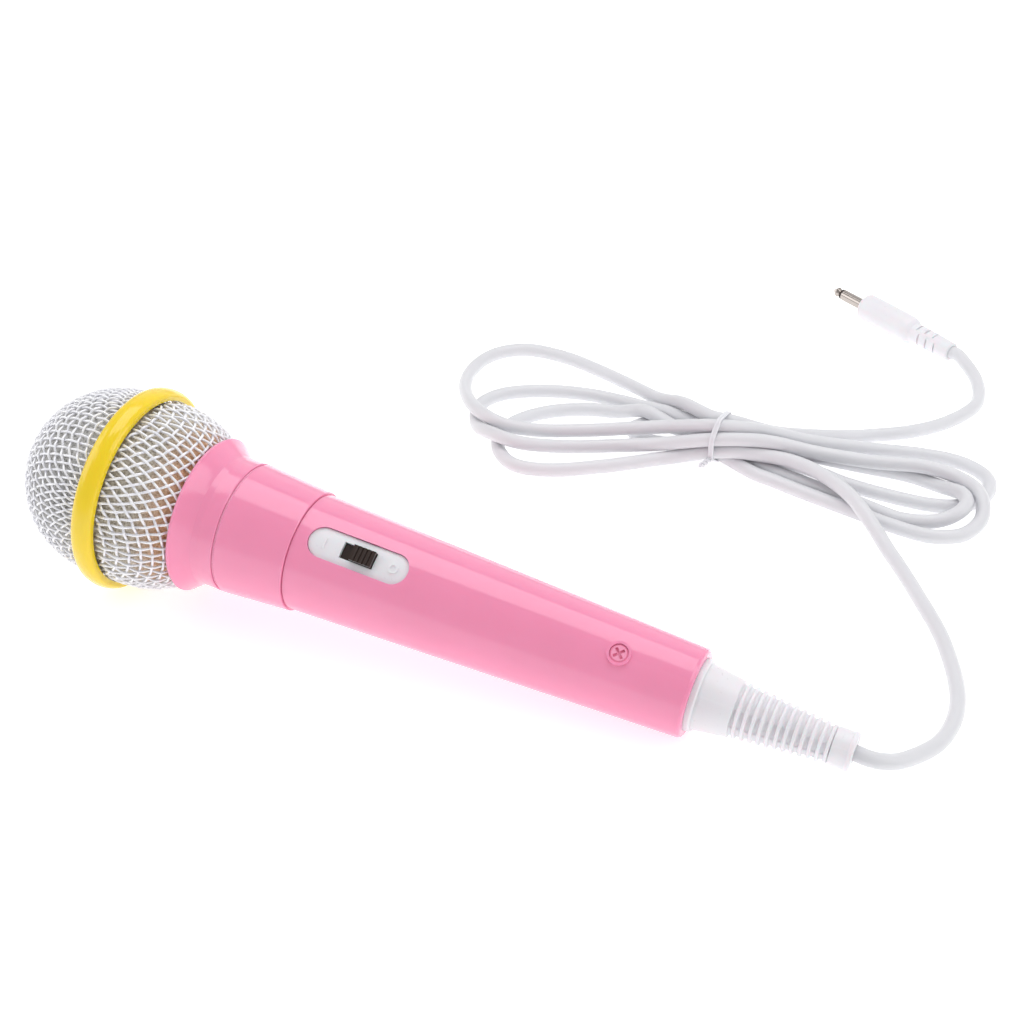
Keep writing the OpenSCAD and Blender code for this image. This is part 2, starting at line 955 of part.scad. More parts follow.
// Flat tie round the bundle, with its two ends twisted together in front
module twist_tie() {
    width = 1.6;
    twist_r = 0.9;
    twist_l = 8;
    bundle = [
        for (p = cable_line())
            if (abs(p.x - tie_at.x) < cable_step + width / 2 && abs(p.y - tie_at.y) < 3 * pass_gap)
                p
    ];
    front_y = min([for (p = bundle) p.y]);
    front_z = max([for (p = bundle) if (p.y < front_y + 0.5) p.z]);
    color("whitesmoke") {
        translate([tie_at.x - width / 2, 0, 0])
            rotate([90, 0, 90])
                linear_extrude(width)
                    difference() {
                        bundle_outline(bundle, cable_r + slip + tie_t);
                        bundle_outline(bundle, cable_r + slip);
                    }
        translate([tie_at.x, front_y - cable_r - slip - tie_t / 2, front_z])
            rotate([125, 0, -20])
                cylinder(r = twist_r, h = twist_l, $fn = 16);
    }
}

// Outline round the bundle at a distance from the strands' middles, seen along +X
module bundle_outline(bundle, distance) {
    hull()
        for (p = bundle)
            translate([p.y, p.z])
                circle(r = distance, $fn = 32);
}

// ---- Plug ----

ring_l = 0.7;
tip_l = 3.7;
sleeve_end = jack_l - tip_l - ring_l;
contact_r = jack_r - 0.2;
root_r = 1.5;
root_z = -7.5;
liner_r = 1;
rod_r = 0.6;

// Moulded body with a stepped rear and a slit bend relief
module plug_body() {
    relief_r = 3.3;
    slit = 0.7;
    slit_depth = 0.85;
    slit_pitch = 1.65;
    round_r = 1.4;
    nose = [
        for (i = [0:5])
            let (a = 90 * i / 5)
                [plug_r - round_r + round_r * sin(a), -round_r + round_r * cos(a)]
    ];
    color(soft_white)
        on_plug()
            difference() {
                rotate_extrude($fn = 64)
                    polygon(concat(
                        [[0, 0]],
                        nose,
                        [
                            [plug_r, -plug_l + 3],
                            [plug_r - 0.35, -plug_l + 1.2],
                            [relief_r, -plug_l],
                            [relief_r - 0.35, -plug_back + 0.5],
                            [relief_r - 0.8, -plug_back],
                            [0, -plug_back]
                        ]
                    ));
                translate([0, 0, -plug_back - 1])
                    cylinder(r = cable_r + gap, h = plug_back - core_z + 1 + slip);
                translate([0, 0, -12])
                    cylinder(r = liner_r + 0.2, h = 20);
                translate([0, 0, root_z - slip])
                    cylinder(r = root_r + gap, h = 20);
                for (i = [0:5])
                    rotate([0, 0, 90 * (i % 2)])
                        for (side = [-1, 1])
                            translate([side * relief_r, 0, -plug_l - 2.2 - slit_pitch * i])
                                cube([2 * slit_depth, 9, slit], center = true);
            }
}

// Shank of the jack, with a narrower root moulded into the body
module plug_sleeve() {
    color("#9c8f86")
        on_plug() {
            tube(jack_r, liner_r, gap, sleeve_end);
            tube(root_r, liner_r, root_z, gap + slip);
        }
}

// Ring between shank and tip, with the liner that keeps the tip's rod off the shank
module plug_insulator() {
    color("#1e1e20")
        on_plug() {
            tube(contact_r, rod_r, sleeve_end + gap, sleeve_end + ring_l);
            tube(liner_r - gap, rod_r, root_z, sleeve_end + 2 * gap);
        }
}

// Contact point with the neck that a socket's spring clicks into
module plug_tip() {
    tip_z = sleeve_end + ring_l + gap;
    neck_r = jack_r - 0.7;
    color("#a89b91")
        on_plug()
            rotate_extrude($fn = 48)
                polygon([
                    [0, -10],
                    [rod_r - gap, -10],
                    [rod_r - gap, tip_z],
                    [jack_r - 0.05, tip_z],
                    [neck_r, tip_z + 0.9],
                    [contact_r, tip_z + 1.7],
                    [contact_r, tip_z + 2],
                    [0.6, jack_l - 0.25],
                    [0, jack_l]
                ]);
}

// ---- Wires ----

wire_r = 0.55;
wire_step = 6;
lug_x = handle_r(switch_z) - frame_top - 7.4 - wire_r - gap;

module wire(points) {
    on_mic()
        sweep(spline(points, wire_step), wire_r, 8);
}

module signal_wire() {
    color("firebrick")
        wire([
            [3, 0, 20], [3, 0, 23.6], [4.5, 0, 34], [2, 0, 50],
            [lug_x, 0, switch_z - 4], [lug_x, 0, switch_z - 2]
        ]);
}

module switch_wire() {
    color("firebrick")
        wire([
            [lug_x, 0, switch_z], [lug_x, 0, switch_z + 4], [1, 0, 88],
            [0.8, 0, 112], [0.8, 0, cable_start - gap], [0.8, 0, cable_start + 5]
        ]);
}

module ground_wire() {
    color("dimgray")
        wire([
            [-3, 0, 20], [-3, 0, 23.6], [-5, 0, 38], [-4, 0, 80],
            [-0.8, 0, 112], [-0.8, 0, cable_start - gap], [-0.8, 0, cable_start + 5]
        ]);
}

front_grille();
rear_grille();
grille_band();
front_foam();
rear_foam();
grille_collar();
head_washer();
neck_sleeve();
handle_shell();
handle_screw();
capsule_mount();
capsule_case();
capsule_cap();
capsule_diaphragm();
capsule_pole();
capsule_magnet();
capsule_yoke();
capsule_terminals();
switch_plate();
switch_frame();
switch_base();
switch_terminals();
switch_screws();
switch_knob();
switch_contact();
signal_wire();
switch_wire();
ground_wire();
cord_clamp();
strain_relief();
cable();
twist_tie();
plug_body();
plug_sleeve();
plug_insulator();
plug_tip();
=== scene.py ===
"""Looks of the toy microphone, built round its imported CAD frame. Lengths are metres."""

import json
import math

import bmesh
import bpy
import numpy as np
from mathutils import Matrix, Vector

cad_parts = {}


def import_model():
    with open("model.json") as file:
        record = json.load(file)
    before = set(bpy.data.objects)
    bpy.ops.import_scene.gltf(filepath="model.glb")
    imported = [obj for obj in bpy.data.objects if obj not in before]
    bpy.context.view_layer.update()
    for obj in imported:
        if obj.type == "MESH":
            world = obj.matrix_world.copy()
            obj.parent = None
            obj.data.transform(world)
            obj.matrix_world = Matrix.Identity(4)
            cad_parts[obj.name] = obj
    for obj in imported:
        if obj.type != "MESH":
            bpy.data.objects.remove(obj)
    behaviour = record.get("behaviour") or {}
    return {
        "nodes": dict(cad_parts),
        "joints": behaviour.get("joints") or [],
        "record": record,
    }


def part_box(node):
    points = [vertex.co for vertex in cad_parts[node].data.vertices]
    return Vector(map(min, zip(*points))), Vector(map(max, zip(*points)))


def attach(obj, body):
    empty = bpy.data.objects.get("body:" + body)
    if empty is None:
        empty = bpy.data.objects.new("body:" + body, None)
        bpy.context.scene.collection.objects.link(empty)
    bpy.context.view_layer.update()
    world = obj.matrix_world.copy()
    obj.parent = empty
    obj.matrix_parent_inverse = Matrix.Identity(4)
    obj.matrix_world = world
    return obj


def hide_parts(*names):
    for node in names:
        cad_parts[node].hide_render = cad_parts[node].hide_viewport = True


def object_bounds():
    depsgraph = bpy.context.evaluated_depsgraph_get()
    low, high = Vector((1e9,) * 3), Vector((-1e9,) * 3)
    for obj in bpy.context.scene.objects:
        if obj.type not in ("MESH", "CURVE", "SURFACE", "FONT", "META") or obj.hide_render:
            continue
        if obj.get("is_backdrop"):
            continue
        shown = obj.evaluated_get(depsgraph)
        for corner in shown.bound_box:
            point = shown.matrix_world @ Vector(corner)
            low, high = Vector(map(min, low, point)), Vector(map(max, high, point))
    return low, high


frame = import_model()
cad_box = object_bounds()

MM = 0.001
nodes = frame["nodes"]
joints = {j["name"]: j for j in frame["joints"]}

# ---------------------------------------------------------------- microphone's own axes

# z runs from the band's middle to the tail, x leaves the axis through the switch
AXIS = -Vector(joints["head_unscrew"]["axis"]).normalized()
ORIGIN = sum(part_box("grille_band"), Vector()) / 2
to_knob = sum(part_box("switch_knob"), Vector()) / 2 - ORIGIN
SIDE = (to_knob - AXIS * to_knob.dot(AXIS)).normalized()
ACROSS = AXIS.cross(SIDE)
MIC = Matrix((SIDE, ACROSS, AXIS)).transposed().to_4x4()
MIC.translation = ORIGIN

PLUG_JACK = frame["record"]["mounts"][0]
PLUG_AXIS = Vector(PLUG_JACK["axis"]).normalized()
PLUG_SHOULDER = Vector(PLUG_JACK["pos_m"]) - PLUG_AXIS * PLUG_JACK["dims"]["length_mm"] / 2 * MM


def half_width(node):
    """Largest radius of a node that is round about the microphone's axis."""
    low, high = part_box(node)
    return (high.y - low.y) / 2


BALL_R = half_width("front_grille")


def station(node, pick):
    """Lowest (min) or highest (max) distance of a node's vertices along the axis."""
    return pick((v.co - ORIGIN).dot(AXIS) for v in nodes[node].data.vertices)


# Both half balls have the same radius: the front one's centre lies one radius behind its
# pole, and the rear one's follows from the radius of its rear rim
FRONT_CENTRE = station("front_grille", min) + BALL_R
REAR_END = station("rear_grille", max)
REAR_RIM_R = max(
    (v.co - ORIGIN - AXIS * (v.co - ORIGIN).dot(AXIS)).length
    for v in nodes["rear_grille"].data.vertices
    if (v.co - ORIGIN).dot(AXIS) > REAR_END - 0.05 * MM
)
REAR_CENTRE = REAR_END - math.sqrt(BALL_R ** 2 - REAR_RIM_R ** 2)

# ---------------------------------------------------------------- small mesh helpers


def new_object(name, mesh, material=None):
    obj = bpy.data.objects.new(name, mesh)
    bpy.context.scene.collection.objects.link(obj)
    if material:
        mesh.materials.append(material)
    return obj


def mesh_from(name, points, faces, smooth=True):
    mesh = bpy.data.meshes.new(name)
    mesh.from_pydata([tuple(p) for p in points], [], faces)
    mesh.polygons.foreach_set("use_smooth", [smooth] * len(mesh.polygons))
    mesh.validate()
    mesh.update()
    return mesh


def tube_rings(path, radius, sides, across=None):
    """Rings of points round a path, without twist. Radius is one number or one per point."""
    path = np.asarray(path, float)
    along = np.gradient(path, axis=0)
    along /= np.linalg.norm(along, axis=1)[:, None]
    side = np.cross(along[0], across if across is not None else (0.3, 0.2, 1.0))
    side /= np.linalg.norm(side)
    angles = 2 * math.pi * np.arange(sides) / sides
    radii = np.broadcast_to(radius, len(path))
    rings = []
    for point, forward, r in zip(path, along, radii):
        side = side - forward * side.dot(forward)
        side /= np.linalg.norm(side)
        up = np.cross(forward, side)
        rings.append(point + r * (np.outer(np.cos(angles), side) + np.outer(np.sin(angles), up)))
    return np.array(rings)


def tube_faces(first, count, sides, capped=True):
    """Quads between successive rings, and a cap at each end."""
    faces = []
    for i in range(count - 1):
        for k in range(sides):
            a = first + i * sides + k
            b = first + i * sides + (k + 1) % sides
            faces.append((a, b, b + sides, a + sides))
    if capped:
        last = first + (count - 1) * sides
        faces.append(tuple(first + k for k in range(sides - 1, -1, -1)))
        faces.append(tuple(last + k for k in range(sides)))
    return faces


def tubes_mesh(name, paths, radius, sides):
    """One mesh of many round wires."""
    points, faces = [], []
    for path in paths:
        rings = tube_rings(path, radius, sides)
        faces += tube_faces(len(points), len(rings), sides)
        points += list(rings.reshape(-1, 3))
    return mesh_from(name, points, faces)


def bmesh_join(name, meshes):
    """One mesh of several, with outward faces."""
    bm = bmesh.new()
    for mesh in meshes:
        bm.from_mesh(mesh)
        bpy.data.meshes.remove(mesh)
    bmesh.ops.recalc_face_normals(bm, faces=bm.faces)
    mesh = bpy.data.meshes.new(name)
    bm.to_mesh(mesh)
    bm.free()
    return mesh


# ---------------------------------------------------------------- materials


class Nodes:
    """Short way to build a material's node tree."""

    def __init__(self, name):
        self.material = bpy.data.materials.new(name)
        self.material.use_nodes = True
        self.tree = self.material.node_tree
        self.shader = self.tree.nodes["Principled BSDF"]
        self.coords = self.tree.nodes.new("ShaderNodeTexCoord").outputs["Object"]

    def set(self, **values):
        for key, value in values.items():
            self.shader.inputs[key.replace("_", " ")].default_value = value
        return self

    def link(self, source, target):
        self.tree.links.new(source, target)

    def noise(self, per_metre, detail=2.0, roughness=0.5, stretch=None):
        node = self.tree.nodes.new("ShaderNodeTexNoise")
        node.inputs["Scale"].default_value = per_metre
        node.inputs["Detail"].default_value = detail
        node.inputs["Roughness"].default_value = roughness
        self.link(self.scaled(stretch), node.inputs["Vector"])
        return node.outputs["Fac"]

    def cells(self, per_metre):
        node = self.tree.nodes.new("ShaderNodeTexVoronoi")
        node.inputs["Scale"].default_value = per_metre
        self.link(self.coords, node.inputs["Vector"])
        return node.outputs["Distance"]

    def scaled(self, stretch):
        if stretch is None:
            return self.coords
        node = self.tree.nodes.new("ShaderNodeMapping")
        node.inputs["Scale"].default_value = stretch
        self.link(self.coords, node.inputs["Vector"])
        return node.outputs["Vector"]

    def ramp(self, value, stops):
        node = self.tree.nodes.new("ShaderNodeValToRGB")
        elements = node.color_ramp.elements
        while len(elements) < len(stops):
            elements.new(0.5)
        for element, (place, colour) in zip(elements, stops):
            element.position = place
            element.color = (*colour, 1)
        self.link(value, node.inputs["Fac"])
        return node.outputs["Color"]

    def spread(self, value, low, high, start=0.0, end=1.0):
        node = self.tree.nodes.new("ShaderNodeMapRange")
        node.inputs["From Min"].default_value = start
        node.inputs["From Max"].default_value = end
        node.inputs["To Min"].default_value = low
        node.inputs["To Max"].default_value = high
        self.link(value, node.inputs["Value"])
        return node.outputs["Result"]

    def along(self, direction, start, end):
        """0 to 1 between two distances from ORIGIN in a direction."""
        node = self.tree.nodes.new("ShaderNodeVectorMath")
        node.operation = "DOT_PRODUCT"
        node.inputs[1].default_value = direction
        self.link(self.coords, node.inputs[0])
        offset = ORIGIN.dot(direction)
        return self.spread(node.outputs["Value"], 0.0, 1.0, start + offset, end + offset)

    def mix(self, amount, first, second):
        node = self.tree.nodes.new("ShaderNodeMix")
        node.data_type = "RGBA"
        for key, value in (("Factor", amount), ("A", first), ("B", second)):
            socket = next(s for s in node.inputs if s.name == key and s.enabled)
            if isinstance(value, (int, float)):
                socket.default_value = value
            elif isinstance(value, tuple):
                socket.default_value = (*value, 1)
            else:
                self.link(value, socket)
        return next(s for s in node.outputs if s.enabled)

    def colour(self, source):
        self.link(source, self.shader.inputs["Base Color"])
        return self

    def rough(self, source):
        self.link(source, self.shader.inputs["Roughness"])
        return self

    def bump(self, height, strength, distance):
        node = self.tree.nodes.new("ShaderNodeBump")
        node.inputs["Strength"].default_value = strength
        node.inputs["Distance"].default_value = distance
        self.link(height, node.inputs["Height"])
        self.link(node.outputs["Normal"], self.shader.inputs["Normal"])
        return self


def shade(colour, factor):
    return tuple(c * factor for c in colour)


def moulded(name, colour, rough, flow=0.04, subsurface=0.0, coat=0.0, orange_peel=0.05):
    """Injection-moulded plastic: faint flow marks, fine surface waviness, uneven gloss."""
    m = Nodes(name)
    flow_marks = m.noise(60, 3, 0.55, (1.0, 0.4, 1.0))
    m.colour(m.ramp(flow_marks, [(0.3, shade(colour, 1 - flow)), (0.7, colour)]))
    fine = m.noise(900, 2)
    m.rough(m.spread(fine, rough * 0.85, rough * 1.25, 0.3, 0.7))
    m.bump(m.noise(700, 2), orange_peel, 0.02 * MM)
    m.set(Subsurface_Weight=subsurface, Subsurface_Scale=1.5 * MM, Coat_Weight=coat)
    m.set(Subsurface_Radius=(1.0, 0.5, 0.6), Coat_Roughness=0.08, IOR=1.49)
    return m.material


def satin_metal(name, colour, rough, grain=(1.0, 1.0, 1.0), tone=0.12):
    """Plated or drawn metal with fine grain and dull patches."""
    m = Nodes(name)
    patches = m.noise(220, 3)
    m.colour(m.ramp(patches, [(0.3, shade(colour, 1 - tone)), (0.7, colour)]))
    lines = m.noise(2600, 2, 0.6, grain)
    m.rough(m.spread(lines, rough * 0.75, rough * 1.35, 0.3, 0.7))
    m.bump(lines, 0.12, 0.02 * MM)
    m.set(Metallic=1.0)
    return m.material


def foam(name, dark, light, stain=None):
    """Open-cell foam: pale cell struts with painted shade darkening into the pores, stained near the collar.
    """
    m = Nodes(name)
    pores = m.cells(1500)
    # painted shade: the colour darkens from the pale struts into the pore centres, down to 0.6 of the dark
    # grey, standing in for shade inside the pits
    walls_with_painted_pore_shade = m.ramp(pores, [(0.05, shade(dark, 0.6)), (0.35, dark), (0.7, light)])
    mottled = m.mix(m.spread(m.noise(150, 3), 0.0, 0.45, 0.35, 0.7), walls_with_painted_pore_shade, dark)
    if stain:
        mottled = m.mix(m.along(AXIS, 11 * MM, 19 * MM), mottled, m.mix(0.6, mottled, stain))
    m.colour(mottled)
    m.bump(pores, 0.9, 0.35 * MM)
    m.set(Roughness=0.95, Specular_IOR_Level=0.15)
    return m.material


def cloth(name, dark, light, per_metre=2200):
    """Felted or rubbery matt surface with short fibres."""
    m = Nodes(name)
    fibres = m.noise(per_metre, 4, 0.7)
    m.colour(m.ramp(fibres, [(0.3, dark), (0.7, light)]))
    m.bump(fibres, 0.7, 0.1 * MM)
    m.set(Roughness=0.9, Specular_IOR_Level=0.2)
    return m.material


def wire_plating():
    """Silver plating on woven wire, duller and bluer in random patches."""
    m = Nodes("wire_plating")
    patches = m.noise(350, 4, 0.65)
    dull, plain, bright = (0.82, 0.82, 0.88), (0.93, 0.93, 0.96), (0.98, 0.98, 0.99)
    m.colour(m.ramp(patches, [(0.3, dull), (0.55, plain), (0.8, bright)]))
    m.rough(m.spread(m.noise(3000, 2), 0.24, 0.42, 0.3, 0.7))
    m.bump(m.noise(5000, 2), 0.15, 0.02 * MM)
    m.set(Metallic=0.25)
    return m.material


def white_vinyl(name, colour=(0.70, 0.70, 0.73), rough=0.34):
    """Soft white vinyl: faint mottling, slight translucency, fine uneven gloss and grain."""
    m = Nodes(name)
    mottle = m.noise(90, 4, 0.6)
    m.colour(m.ramp(mottle, [(0.25, shade(colour, 0.965)), (0.75, colour)]))
    m.rough(m.spread(m.noise(1200, 3), rough * 0.85, rough * 1.2, 0.3, 0.7))
    m.bump(m.noise(500, 3, 0.6), 0.12, 0.05 * MM)
    m.set(Subsurface_Weight=0.25, Subsurface_Scale=1.0 * MM, IOR=1.5)
    m.set(Subsurface_Radius=(1.0, 0.95, 0.9))
    return m.material


PINK = (0.90, 0.29, 0.47)
YELLOW = (0.90, 0.65, 0.01)

materials = {
    "pink_plastic": moulded("pink_gloss", PINK, 0.12, 0.03, 0.35, 0.3),
    "yellow_plastic": moulded("yellow_gloss", YELLOW, 0.16, 0.04, 0.2, 0.3),
    "white_plastic": moulded("white_satin", (0.80, 0.785, 0.82), 0.32, 0.03, 0.5),
    "black_plastic": moulded("black_satin", (0.035, 0.020, 0.016), 0.2, 0.3, 0.0, 0.0, 0.2),
    "mesh_wire": wire_plating(),
    "grey_foam": foam("grey_foam_cells", (0.56, 0.55, 0.53), (0.82, 0.81, 0.79)),
    "tan_foam": foam("tan_foam_cells", (0.60, 0.54, 0.44), (0.88, 0.82, 0.71), (0.85, 0.36, 0.12)),
    "felt": cloth("pink_felt", (0.80, 0.34, 0.50), (0.95, 0.50, 0.66)),
    "screw_metal": moulded("pink_lacquer", (0.90, 0.33, 0.50), 0.3, 0.05),
    "black_rubber": cloth("black_rubber_bloom", (0.02, 0.02, 0.022), (0.05, 0.05, 0.055), 1200),
    "case_metal": satin_metal("spun_case", (0.68, 0.68, 0.70), 0.3, (1.0, 6.0, 6.0)),
    "steel": satin_metal("pressed_steel", (0.52, 0.53, 0.55), 0.32, (1.0, 6.0, 6.0)),
    "magnet": cloth("sintered_magnet", (0.10, 0.10, 0.11), (0.20, 0.20, 0.21), 1800),
    "film": moulded("clear_film", (0.78, 0.60, 0.34), 0.12, 0.1),
    "brass": satin_metal("rolled_brass", (0.74, 0.55, 0.24), 0.3, (1.0, 6.0, 6.0)),
    "board": cloth("pressed_board", (0.28, 0.14, 0.06), (0.48, 0.28, 0.14), 900),
    "red_insulation": moulded("red_vinyl", (0.55, 0.03, 0.03), 0.35, 0.1),
    "grey_insulation": moulded("grey_vinyl", (0.18, 0.18, 0.20), 0.35, 0.1),
    "cable_white": white_vinyl("cable_vinyl"),
    "tie_plastic": white_vinyl("tie_vinyl", (0.76, 0.76, 0.80), 0.2),
    "plug_metal": satin_metal("plug_nickel", (0.50, 0.45, 0.42), 0.16, (1.0, 8.0, 8.0)),
}

for row in frame["record"]["subparts"]:
    node = nodes[row["node"]]
    node.data.materials.clear()
    node.data.materials.append(materials[row["material_slot"]])


def keep_slot(obj, node):
    """Gives a piece the record's slot and finish of the CAD node it stands for."""
    slot = next(r["material_slot"] for r in frame["record"]["subparts"] if r["node"] == node)
    obj.data.materials.clear()
    obj.data.materials.append(materials[slot])
    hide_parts(node)
    return obj


# ---------------------------------------------------------------- woven wire grilles


def fourth_corner(start, a, b, step):
    """Point of the unit ball one step from a and from b, on the far side of start."""
    reach = 1 - step ** 2 / 2
    share = reach / (1 + a.dot(b))
    foot = share * (a + b)
    normal = np.cross(a, b)
    normal /= np.linalg.norm(normal)
    rest = 1 - foot.dot(foot)
    if rest < 0:
        return None
    rise = math.sqrt(rest) * normal
    return max((foot + rise, foot - rise), key=lambda p: np.linalg.norm(p - start))


def sheared_net(step, reach):
    """Crossings of a square weave draped over a unit ball without stretching its wires.

    Wire 0 each way runs through the pole (0, 0, 1). Keys are the two wires' numbers.
    """
    angle = 2 * math.asin(step / 2)
    count = int(reach / angle)
    net = {(0, 0): np.array((0.0, 0.0, 1.0))}
    for k in range(1, count + 1):
        for sign in (1, -1):
            out, up = sign * math.sin(k * angle), math.cos(k * angle)
            net[(sign * k, 0)] = np.array((out, 0.0, up))
            net[(0, sign * k)] = np.array((0.0, out, up))
    for su in (1, -1):
        for sv in (1, -1):
            for i in range(1, count + 1):
                for j in range(1, count + 1):
                    corners = [net.get((su * m, sv * n)) for m, n in ((i - 1, j - 1), (i - 1, j), (i, j - 1))]
                    if any(c is None for c in corners):
                        continue
                    point = fourth_corner(*corners, step)
                    if point is not None and point[2] > math.cos(reach):
                        net[(su * i, sv * j)] = point
    return net


def stretched_point(i, j, step, bulge):
    """The same crossing if the sheet had been pressed evenly, so that its cells stretch."""
    flat = step * math.hypot(i, j)
    angle = math.asin(min(1.0, flat * bulge)) / bulge
    if flat == 0:
        return np.array((0.0, 0.0, 1.0))
    out = math.sin(angle) * step / flat
    return np.array((i * out, j * out, math.cos(angle)))


def pressed_net(step, reach, stretch, bulge=0.55):
    """Mix of a sheared and a stretched sheet: stretch 0 only shears, 1 only stretches."""
    net = {}
    if stretch < 1:
        for (i, j), point in sheared_net(step, reach).items():
            mixed = (1 - stretch) * point + stretch * stretched_point(i, j, step, bulge)
            net[(i, j)] = mixed / np.linalg.norm(mixed)
        return net
    count = int(1 / (bulge * step))
    for i in range(-count, count + 1):
        for j in range(-count, count + 1):
            if math.hypot(i, j) * step * bulge < math.sin(min(reach * bulge, math.pi / 2)):
                net[(i, j)] = stretched_point(i, j, step, bulge)
    return net


def unbroken(numbers):
    """Sorted whole numbers split into runs without gaps."""
    runs = []
    for number in sorted(numbers):
        if runs and number == runs[-1][-1] + 1:
            runs[-1].append(number)
        else:
            runs.append([number])
    return runs


def weave(net, crimp, samples=4):
    """Wires of a plain weave, each over one crossing and under the next, as points near a unit ball."""
    wires = []
    for along in (0, 1):
        rows = {}
        for key, point in net.items():
            rows.setdefault(key[1 - along], {})[key[along]] = point
        for number, row in rows.items():
            for run in unbroken(row):
                places = [k + s / samples for k in run[:-1] for s in range(samples)] + [run[-1]]
                wire = []
                for place in places:
                    k = min(int(math.floor(place)), run[-1] - 1) if len(run) > 1 else run[0]
                    share = place - k
                    point = row[k] * (1 - share) + row.get(k + 1, row[k]) * share
                    wave = math.cos(math.pi * (place + number + along))
                    wire.append(point / np.linalg.norm(point) * (1 + crimp * wave))
                wires.append(np.array(wire))
    return wires


def cut(wires, keep):
    """Pieces of the wires inside the kept region."""
    pieces = []
    for wire in wires:
        inside = [i for i, point in enumerate(wire) if keep(point)]
        pieces += [wire[run[0]:run[-1] + 1] for run in unbroken(inside) if len(run) > 2]
    return pieces


# Angle from a half ball's pole to which its net is drawn, before it is cut
NET_REACH = math.radians(101)
# Part of each half ball that the band hides
COVERED = 2.4 * MM


def grille(name, node, centre, towards, turn, pitch, wire_r, stretch, z_limits):
    """Woven half ball whose outer crests touch the CAD mesh's outer surface."""
    crimp = 0.95 * wire_r
    middle_r = BALL_R - wire_r - crimp
    net = pressed_net(pitch / middle_r, NET_REACH, stretch)
    c, s = math.cos(turn), math.sin(turn)
    basis = np.array(((c, -s, 0), (s, c, 0), (0, 0, towards)))
    wires = [wire @ basis.T * middle_r + (0, 0, centre) for wire in weave(net, crimp / middle_r)]
    wires = cut(wires, lambda p: z_limits[0] <= p[2] <= z_limits[1])
    obj = new_object(name, tubes_mesh(name, wires, wire_r, 6))
    obj.data.transform(MIC)
    keep_slot(obj, node)
    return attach(obj, "head")


grille("front_grille_weave", "front_grille", FRONT_CENTRE, -1, math.radians(-10),
       2.2 * MM, 0.31 * MM, 0.25, (-1, -COVERED))
grille("rear_grille_weave", "rear_grille", REAR_CENTRE, 1, math.radians(13 + 45),
       2.32 * MM, 0.36 * MM, 1.0, (COVERED, REAR_END - 0.3 * MM))

# ---------------------------------------------------------------- foam linings

FOAM_RINGS, FOAM_SIDES = 56, 220
FOAM_THICK = 2.6 * MM
PIT_DEPTH = 0.11 * MM


def foam_skin(centre, towards, angles, radius):
    """Points of a part of a ball, ring by ring, every second ring turned by half a step."""
    points = []
    for i in range(FOAM_RINGS + 1):
        angle = angles[0] + (angles[1] - angles[0]) * i / FOAM_RINGS
        for k in range(FOAM_SIDES):
            turn = 2 * math.pi * (k + 0.5 * (i % 2)) / FOAM_SIDES
            r = radius()
            out, z = r * math.cos(angle), centre + towards * r * math.sin(angle)
            points.append((out * math.cos(turn), out * math.sin(turn), z))
    return points


def foam_lining(name, node, centre, towards, depth, low, high, seed):
    """Half ball of open-cell foam with a pitted surface, closed by a flat rim at both ends."""
    radius = BALL_R - depth
    far = math.asin(min(1.0, (high - abs(centre)) / radius)) if high < radius else math.pi / 2
    near = math.asin(max(-1.0, (low - abs(centre)) / radius))
    draw = np.random.default_rng(seed)
    outer = foam_skin(centre, towards, (near, far), lambda: radius - abs(draw.normal(0, PIT_DEPTH)))
    inner = foam_skin(centre, towards, (near, far), lambda: radius - FOAM_THICK)
    outer_faces = tube_faces(0, FOAM_RINGS + 1, FOAM_SIDES, False)
    inner_faces = [face[::-1] for face in tube_faces(len(outer), FOAM_RINGS + 1, FOAM_SIDES, False)]
    rims = []
    for start, outward in ((0, True), (FOAM_RINGS * FOAM_SIDES, False)):
        for k in range(FOAM_SIDES):
            a, b = start + k, start + (k + 1) % FOAM_SIDES
            quad = (a, len(outer) + a, len(outer) + b, b)
            rims.append(quad if outward else quad[::-1])
    faces = outer_faces + inner_faces + rims
    if towards < 0:
        faces = [face[::-1] for face in faces]
    obj = new_object(name, mesh_from(name, outer + inner, faces))
    obj.data.transform(MIC)
    keep_slot(obj, node)
    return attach(obj, "head")


foam_lining("front_foam_lining", "front_foam", FRONT_CENTRE, -1, 1.25 * MM, 1 * MM, BALL_R * 2, 1)
foam_lining("rear_foam_lining", "rear_foam", REAR_CENTRE, 1, 1.5 * MM, 1 * MM, REAR_END - 0.6 * MM, 2)

# ---------------------------------------------------------------- cord boot

UP = (Vector((0, 0, 1)) - AXIS * AXIS.z).normalized()
RIBS = 12
RIB_PITCH = 1.95 * MM
SMOOTH_PART = 8.6 * MM
END_COLLAR = 5.2 * MM
GROOVE_DEPTH = 0.75 * MM
SLOT_DEPTH = 0.3 * MM
MOULD_STEP = 0.07 * MM
# Degrees from the top towards the front: the mould line, and how far the slots reach below it
MOULD_LINE = 50
SLOT_REACH = 46
BOOT_BORE = 2.06 * MM
BOOT_SIDES = 180
BOOT_STEP = 0.11 * MM


def smooth_step(value, low, high):
    t = np.clip((value - low) / (high - low), 0, 1)
    return t * t * (3 - 2 * t)


